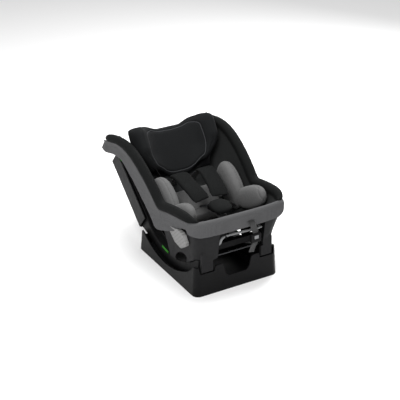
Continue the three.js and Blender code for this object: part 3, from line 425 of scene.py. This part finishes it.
def inflated(made, cap, pressure=4.0):
    """Stuffs a closed cloth from inside; no point moves further than the cap."""
    rest = coordinates(made.data)
    cloth = made.modifiers.new("cloth", "CLOTH")
    cloth.settings.use_pressure = True
    cloth.settings.uniform_pressure_force = pressure
    cloth.settings.effector_weights.gravity = 0
    cloth.settings.quality = 4
    cloth.point_cache.frame_start = 1
    cloth.point_cache.frame_end = CLOTH_FRAMES
    for step in range(1, CLOTH_FRAMES + 1):
        scene.frame_set(step)
    settled(made)
    scene.frame_set(1)
    moved = coordinates(made.data) - rest
    length = np.linalg.norm(moved, axis=1, keepdims=True)
    capped = moved * np.minimum(1, cap * MM / np.maximum(length, 1e-9))
    placed(made.data, rest + capped)
    return made


def finer(made):
    divide = made.modifiers.new("finer", "SUBSURF")
    divide.levels = 1
    return settled(made)


def smooth_line(points, closed=False, step=0.002):
    """A dense line through the points."""
    count = len(points)
    line = []
    for i in range(count if closed else count - 1):
        if closed:
            a, b, c, d = (points[(i + k) % count] for k in (-1, 0, 1, 2))
        else:
            a, b, c, d = (points[min(max(i + k, 0), count - 1)] for k in (-1, 0, 1, 2))
        pieces = max(2, int((c - b).length / step))
        for k in range(pieces):
            t = k / pieces
            line.append(0.5 * (2 * b + (c - a) * t + (2 * a - 5 * b + 4 * c - d) * t * t
                               + (3 * b - a - 3 * c + d) * t ** 3))
    if not closed:
        line.append(points[-1].copy())
    return line


def on_surface(made, line, lift=0.0):
    """The line's points moved to the nearest place on the piece."""
    tree = BVHTree.FromPolygons([v.co for v in made.data.vertices],
                                [p.vertices for p in made.data.polygons])
    found = [tree.find_nearest(p) for p in line]
    return [spot + normal * lift * MM for spot, normal, _, _ in found if spot is not None]


def groove(made, line, width=3.5, depth=2.0):
    """Sinks the piece's surface along a line, as a seam does."""
    mesh = made.data
    spots = coordinates(mesh)
    path = np.array([list(p) for p in line])
    low, high = path.min(0) - 0.02, path.max(0) + 0.02
    near = np.where(((spots > low) & (spots < high)).all(1))[0]
    normals = np.empty(len(mesh.vertices) * 3)
    mesh.vertices.foreach_get("normal", normals)
    normals = normals.reshape(-1, 3)
    for start in range(0, len(near), 4000):
        some = near[start:start + 4000]
        gap = np.linalg.norm(spots[some][:, None] - path[None], axis=2).min(1) / (width * MM)
        spots[some] -= normals[some] * (depth * MM * np.exp(-gap ** 2))[:, None]
    placed(mesh, spots)
    return made


def cord_mesh(name, line, radius, sides=8, closed=False):
    """A round cord along a dense line."""
    spots, faces = [], []
    count = len(line)
    for i, point in enumerate(line):
        ahead = line[(i + 1) % count] if closed else line[min(i + 1, count - 1)]
        behind = line[i - 1] if closed or i else line[0]
        along = (ahead - behind).normalized()
        aside = along.orthogonal() if i == 0 else (aside - along * aside.dot(along)).normalized()
        other = along.cross(aside)
        for k in range(sides):
            angle = 2 * math.pi * k / sides
            spots.append(point + (aside * math.cos(angle) + other * math.sin(angle)) * radius * MM)
    for i in range(count if closed else count - 1):
        for k in range(sides):
            a, b = i * sides, ((i + 1) % count) * sides
            faces.append((a + k, a + (k + 1) % sides, b + (k + 1) % sides, b + k))
    if not closed:
        faces.append(tuple(reversed(range(sides))))
        faces.append(tuple(range((count - 1) * sides, count * sides)))
    mesh = bpy.data.meshes.new(name)
    mesh.from_pydata(spots, [], faces)
    mesh.shade_smooth()
    return mesh


def closed_mesh(name, spots, faces):
    """A mesh from its points and faces, with every face turned outwards."""
    mesh = bpy.data.meshes.new(name)
    mesh.from_pydata(spots, [], faces)
    work = bmesh.new()
    work.from_mesh(mesh)
    bmesh.ops.recalc_face_normals(work, faces=work.faces)
    work.to_mesh(mesh)
    work.free()
    return mesh


def stitched(name, line, body, length=3.2, gap=2.2, radius=0.45):
    """A row of stitches along a line, each one short and round."""
    work = bmesh.new()
    run = 0.0
    dashes = []
    start = line[0]
    for a, b in zip(line, line[1:]):
        run += (b - a).length
        if run >= (length if len(dashes) % 2 == 0 else gap) * MM:
            dashes.append((start, b))
            start, run = b, 0.0
    for a, b in dashes[::2]:
        middle, along = (a + b) / 2, b - a
        turn = Vector((0, 0, 1)).rotation_difference(along).to_matrix().to_4x4()
        shape = Matrix.Translation(middle) @ turn @ Matrix.Diagonal((radius * MM, radius * MM,
                                                                      along.length / 2, 1))
        bmesh.ops.create_uvsphere(work, u_segments=6, v_segments=4, radius=1, matrix=shape)
    mesh = bpy.data.meshes.new(name)
    work.to_mesh(mesh)
    work.free()
    mesh.shade_smooth()
    return finished(bpy.data.objects.new(name, mesh), body, thread_look)


def finished(made, body, look, stands_for=()):
    """Gives a piece its material, and its place in the model."""
    if made.name not in scene.collection.objects:
        scene.collection.objects.link(made)
    made.data.materials.clear()
    made.data.materials.append(look)
    made.data.shade_smooth()
    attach(made, body)
    if stands_for:
        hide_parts(*stands_for)
    return made


def reflected(made, name):
    """The same mesh on the other side of the seat."""
    mesh = made.data.copy()
    mesh.transform(Matrix.Diagonal((-1, 1, 1, 1)))
    mesh.flip_normals()
    twin = bpy.data.objects.new(name, mesh)
    scene.collection.objects.link(twin)
    return twin


def cushion(name, node, cap, voxel=4.5, rounds=6, shrink=1.0, pressure=4.0):
    """A CAD pad as stuffed cloth: rounded off, made a little smaller, then filled up to the cap."""
    made = voxelled(copied(name, node), voxel)
    relaxed(made, rounds)
    swollen(made, -shrink)
    inflated(made, cap, pressure)
    return finer(relaxed(made, 2))


def moulded(name, node):
    """A CAD solid as foam: the same shape with its edges rounded off."""
    return relaxed(voxelled(copied(name, node), 2.2), 5)


def pair(kind, body, make, slot, seams=()):
    """A piece on the right and its mirror image on the left, each with its sewn seams."""
    right = make(f"{kind}_right_soft", f"{kind}_right")
    lines = [on_surface(right, smooth_line(points)) for points in seams]
    for line in lines:
        groove(right, line)
    sunk = [on_surface(right, line, 0.1) for line in lines]
    left = reflected(right, f"{kind}_left_soft")
    for side, made in (("right", right), ("left", left)):
        finished(made, body, LOOKS[slot], [f"{kind}_{side}"])
        for i, line in enumerate(sunk):
            shown = line if side == "right" else mirror(line)
            stitched(f"{kind}_{side}_stitches_{i + 1}", shown, body)
    return right, left


# ---------- headrest: centre pad and wings under one cover, with piping round the pad ----------
HEADREST_TILT = 0.3
HEADREST_FOOT, HEADREST_BACK = 350, 80
HEADREST_REST = 78.4  # how far its rear face stands off the backrest
# Its section from the middle (0) to a side (1): how far out and how far forward, in millimetres.
HEADREST_SHARES = [0, 0.15, 0.3, 0.42, 0.52, 0.6, 0.67, 0.74, 0.8, 0.86, 0.91, 0.95, 0.98, 1]
HEADREST_FRONT = [(0, 104), (27, 105), (54, 108), (76, 113), (94, 122), (108, 134), (120, 149), (130, 166),
                  (139, 181), (150, 189), (163, 185), (173, 168), (179, 142), (179, 112)]
HEADREST_REAR = [(0, 78.4), (20, 78.4), (45, 78.4), (70, 78.4), (88, 79.5), (102, 81), (112, 82.5),
                 (121, 84), (130, 86), (140, 87), (150, 88), (160, 90), (170, 94), (177, 102)]


def on_headrest(x, s, n):
    """A point in the headrest's own frame, which leans forward from the backrest about its foot."""
    c, d = math.cos(HEADREST_TILT), math.sin(HEADREST_TILT)
    s, n = s - HEADREST_FOOT, n - HEADREST_BACK
    return back(x, HEADREST_FOOT + s * c - n * d, HEADREST_BACK + s * d + n * c)


def eased(value, low, high):
    t = min(max((value - low) / (high - low), 0), 1)
    return t * t * (3 - 2 * t)


def headrest_shape():
    """The padded cover: a hollow in the middle, two upright wings, a top edge that rises to them."""
    between = [(p[1] + q[1]) / 2 for p, q in zip(HEADREST_FRONT, HEADREST_REAR)]
    columns, rows = 72, 26
    spots = []
    for face in (HEADREST_REAR, HEADREST_FRONT):
        for j in range(rows + 1):
            for i in range(columns + 1):
                a = abs(2 * i / columns - 1)
                side = 1 if 2 * i >= columns else -1
                v = j / rows
                fall = 12 if face is HEADREST_FRONT else 0
                top = 539 + 19 * eased(a, 0.2, 0.6) - fall * eased(a, 0.72, 1)
                foot = 336 + 34 * eased(a, 0.3, 0.8)
                s = foot + (top - foot) * v
                round_off = max(0.3, (1 - abs(2 * v - 1) ** 9) ** 0.5)
                x, n = (np.interp(a, HEADREST_SHARES, [spot[k] for spot in face]) for k in (0, 1))
                middle = np.interp(a, HEADREST_SHARES, between)
                low_wing = 1 - 0.35 * eased(a, 0.5, 0.8) * (1 - eased(s, 370, 470))
                n = HEADREST_REST + (middle + (n - middle) * round_off - HEADREST_REST) * low_wing
                narrowing = 0.68 + 0.32 * eased(s, HEADREST_FOOT, HEADREST_FOOT + 100)
                spots.append(on_headrest(side * x * narrowing, s, n))
    size = (columns + 1) * (rows + 1)
    faces = []
    for j in range(rows):
        for i in range(columns):
            a = j * (columns + 1) + i
            b = a + columns + 1
            faces += [(a, b, b + 1, a + 1), (size + a, size + a + 1, size + b + 1, size + b)]
    for i in range(columns):
        low, high = i, rows * (columns + 1) + i
        faces += [(low, low + 1, size + low + 1, size + low), (high + 1, high, size + high, size + high + 1)]
    for j in range(rows):
        a, b = j * (columns + 1), (j + 1) * (columns + 1)
        faces += [(b, a, size + a, size + b),
                  (a + columns, b + columns, size + b + columns, size + a + columns)]
    made = bpy.data.objects.new("headrest_cover", closed_mesh("headrest_cover", spots, faces))
    scene.collection.objects.link(made)
    return made


def headrest_cover():
    made = relaxed(voxelled(headrest_shape(), 4.0), 26)
    inflated(made, 3)
    finer(relaxed(made, 3))
    outline = [(0, 527), (45, 531), (82, 533), (104, 520), (116, 492), (119, 455), (112, 420), (92, 388),
               (62, 364), (30, 352), (0, 349)]
    half = [on_headrest(x, s, 150 if x > 90 else 125) for x, s in outline]
    line = on_surface(made, smooth_line(half + mirror(half[-2:0:-1]), closed=True))
    groove(made, line, 5, 3)
    for side in (1, -1):
        fold = [on_headrest(side * x, s, n) for x, s, n in (
            (150, 548, 190), (151, 520, 195), (150, 480, 195), (142, 440, 190), (122, 400, 170))]
        groove(made, on_surface(made, smooth_line(fold)), 3, 1.2)
    finished(made, "headrest", LOOKS["headrest_black"],
             ["headrest_pad", "headrest_wing_right", "headrest_wing_left"])
    sunk = on_surface(made, line, 0.8)
    finished(bpy.data.objects.new("headrest_piping", cord_mesh("headrest_piping", sunk, 1.4, closed=True)),
             "headrest", piping_look)


# ---------- lining and rolled rims, one black cover ----------
def surface_of(*sources):
    """The CAD nodes' own surface, for finding the nearest point on it."""
    spots, faces = [], []
    for source in sources:
        mesh, place = nodes[source].data, nodes[source].matrix_world
        faces += [[len(spots) + k for k in polygon.vertices] for polygon in mesh.polygons]
        spots += [place @ vertex.co for vertex in mesh.vertices]
    return BVHTree.FromPolygons(spots, faces)


def lining():
    """Swelling and shrinking again closes the gaps between the CAD pieces."""
    made = copied("lining", "back_cover", "seat_cover", "rim_bolster_right", "rim_bolster_left")
    swollen(voxelled(made, 4.5), 7.0)
    swollen(voxelled(made, 5.0), -6.0)
    relaxed(made, 14)
    finished(made, "seat", LOOKS["cover_black"],
             ["back_cover", "seat_cover", "rim_bolster_right", "rim_bolster_left"])
    # The lining faces get the lighter copy of the black cloth as painted light; the rolled rims keep
    # cover_black.
    made.data.materials.append(LOOKS["lining_black_painted_light"])
    inner, rolled = (surface_of(*names) for names in (
        ("back_cover", "seat_cover"), ("rim_bolster_right", "rim_bolster_left")))
    for polygon in made.data.polygons:
        polygon.material_index = int(inner.find_nearest(polygon.center)[3]
                                     < rolled.find_nearest(polygon.center)[3])


# ---------- the grey band round the outside ----------
def outer_band():
    """The three bands closed into one, with seams beside the front and a bowed seam on each side."""
    made = copied("outer_band", "side_band_right", "side_band_left", "front_band")
    swollen(voxelled(made, 3.5), 4.5)
    swollen(voxelled(made, 4.0), -3.8)
    relaxed(made, 8)
    for side in (1, -1):
        front = [at(side * 157, y, z) for y, z in ((-246, 250), (-244, 262), (-242, 275), (-238, 290))]
        groove(made, on_surface(made, smooth_line(front)), 3, 1.6)
        bow = [at(side * 216, y, z) for y, z in ((-14, 300), (-26, 270), (-24, 240), (-8, 205), (4, 180))]
        groove(made, on_surface(made, smooth_line(bow)), 3, 1.6)
    finished(made, "seat", LOOKS["cover_grey"], ["side_band_right", "side_band_left", "front_band"])


# ---------- straps ----------
def strap(name, points, width, thickness, body, stands_for, across=(1, 0, 0)):
    """Webbing along points: thin, with rounded selvedges, and UVs in metres."""
    line = smooth_line(points, step=0.006)
    profile = [(-1, 0), (-0.96, 0.8), (-0.9, 1), (-0.8, 0.8), (0.8, 0.8), (0.9, 1), (0.96, 0.8), (1, 0),
               (0.96, -0.8), (0.9, -1), (0.8, -0.8), (-0.8, -0.8), (-0.9, -1), (-0.96, -0.8)]
    spots, marks = [], []
    run = 0.0
    for i, point in enumerate(line):
        along = (line[min(i + 1, len(line) - 1)] - line[max(i - 1, 0)]).normalized()
        side = Vector(across)
        side = (side - along * side.dot(along)).normalized()
        up = along.cross(side)
        run += (point - line[i - 1]).length if i else 0
        for a, b in profile:
            spots.append(point + (side * a * width + up * b * thickness) * MM / 2)
            marks.append((a * width * MM / 2, run))
    size = len(profile)
    faces = []
    for i in range(len(line) - 1):
        for k in range(size):
            faces.append((i * size + k, i * size + (k + 1) % size, (i + 1) * size + (k + 1) % size,
                          (i + 1) * size + k))
    faces.append(tuple(reversed(range(size))))
    faces.append(tuple(range((len(line) - 1) * size, len(line) * size)))
    mesh = bpy.data.meshes.new(name)
    mesh.from_pydata(spots, [], faces)
    layer = mesh.uv_layers.new(name="weave")
    for loop in mesh.loops:
        layer.data[loop.index].uv = marks[loop.vertex_index]
    return finished(bpy.data.objects.new(name, mesh), body, LOOKS["webbing_black"], stands_for)


def harness():
    for side, word in ((1, "right"), (-1, "left")):
        shoulder = [back(side * x, s, n) for x, s, n in (
            (30, 150, 44), (40, 230, 42), (42, 285, 42), (42, 303, 50), (42, 308, 70), (42, 309, 100),
            (42, 308, 140), (42, 303, 172), (41, 285, 195), (38, 230, 219), (33, 180, 236), (27, 154, 243))]
        strap(f"shoulder_webbing_{word}", shoulder, 38, 1.6, "seat", [f"shoulder_strap_{word}"])
        lap = [at(side * x, y, z) for x, y, z in (
            (134, 16, 192), (128, 6, 198), (102, -12, 222), (74, -28, 244), (51, -36, 256))]
        strap(f"lap_webbing_{word}", lap, 32, 1.6, "seat", [f"lap_strap_{word}"], (0, -0.8, 0.6))
    crotch = [at(0, y, z) for y, z in ((-128, 150), (-128, 200), (-127, 228), (-120, 245), (-108, 252),
                                       (-95.5, 254.5))]
    strap("crotch_webbing", crotch, 38, 2, "seat", ["crotch_strap"])
    pull = [at(*p) for p in (
        (38, -241, 277), (38, -251, 277), (38, -262, 277), (40, -264.5, 268), (46, -264, 250),
        (53, -263, 235), (55, -262.7, 224), (55, -262.7, 188), (50, -261, 176), (44, -258, 156),
        (42, -257, 146))]
    strap("adjuster_webbing", pull, 24, 1.6, "seat", ["adjuster_strap"])


def mark(name, body, points, width, out):
    """A small coloured guide mark, a thin raised strip that follows the plastic under it."""
    line = smooth_line(points, step=0.004)
    spots = []
    for i, point in enumerate(line):
        along = (line[min(i + 1, len(line) - 1)] - line[max(i - 1, 0)]).normalized()
        aside = along.cross(Vector(out)).normalized() * width * MM / 2
        lift = Vector(out) * 0.6 * MM
        spots += [point - aside, point - aside * 0.9 + lift, point + aside * 0.9 + lift, point + aside]
    faces = [(0, 1, 2, 3), tuple(len(spots) - k for k in (1, 2, 3, 4))]
    for i in range(len(line) - 1):
        a = 4 * i
        faces += [(a + k, a + 4 + k, a + 4 + (k + 1) % 4, a + (k + 1) % 4) for k in range(4)]
    finished(bpy.data.objects.new(name, closed_mesh(name, spots, faces)), body, LOOKS["route_green"])

AXIS_Y, AXIS_Z = 5, 365  # the recline's axis
ROCKER_FACE = 158.1
MARK_RADIUS, MARK_WIDTH = 299, 10


def guide_marks():
    for side, word in ((1, "right"), (-1, "left")):
        rail = [at(side * ROCKER_FACE, y, AXIS_Z - math.sqrt(MARK_RADIUS ** 2 - (y - AXIS_Y) ** 2))
                for y in range(18, 74, 8)]
        mark(f"guide_mark_rail_{word}", "seat", rail, MARK_WIDTH, (side, 0, 0))


def newborn_insert():
    head_seam = [back(150, 306, 190), back(151, 284, 232), back(152, 250, 246), back(153, 200, 250),
                 back(153, 150, 248), back(153, 122, 220)]
    hip_seam = [at(150, y, z) for y, z in ((-170, 290), (-140, 320), (-100, 325), (-50, 310), (-10, 280))]
    for kind, seam in (("insert_head_side", head_seam), ("insert_hip_side", hip_seam)):
        pair(kind, "seat", lambda name, node: cushion(name, node, 5), "insert_grey", [seam])
    for node, shrink in (("insert_back", 1), ("insert_seat", -2)):
        made = cushion(f"{node}_soft", node, 4, rounds=5, shrink=shrink)
        finished(made, "seat", LOOKS["insert_grey"], [node])


def harness_pads():
    pair("shoulder_pad", "seat", lambda name, node: cushion(name, node, 2.5, 3.5, 3, 0.5, 3),
         "cover_black")
    made = cushion("crotch_pad_soft", "crotch_pad", 3, 3.5, 4)
    finished(made, "seat", LOOKS["cover_black"], ["crotch_pad"])

camera()
studio()
guide_marks()
headrest_cover()
lining()
outer_band()
newborn_insert()
harness_pads()
pair("side_impact_pad", "seat", moulded, "pad_light")
harness()
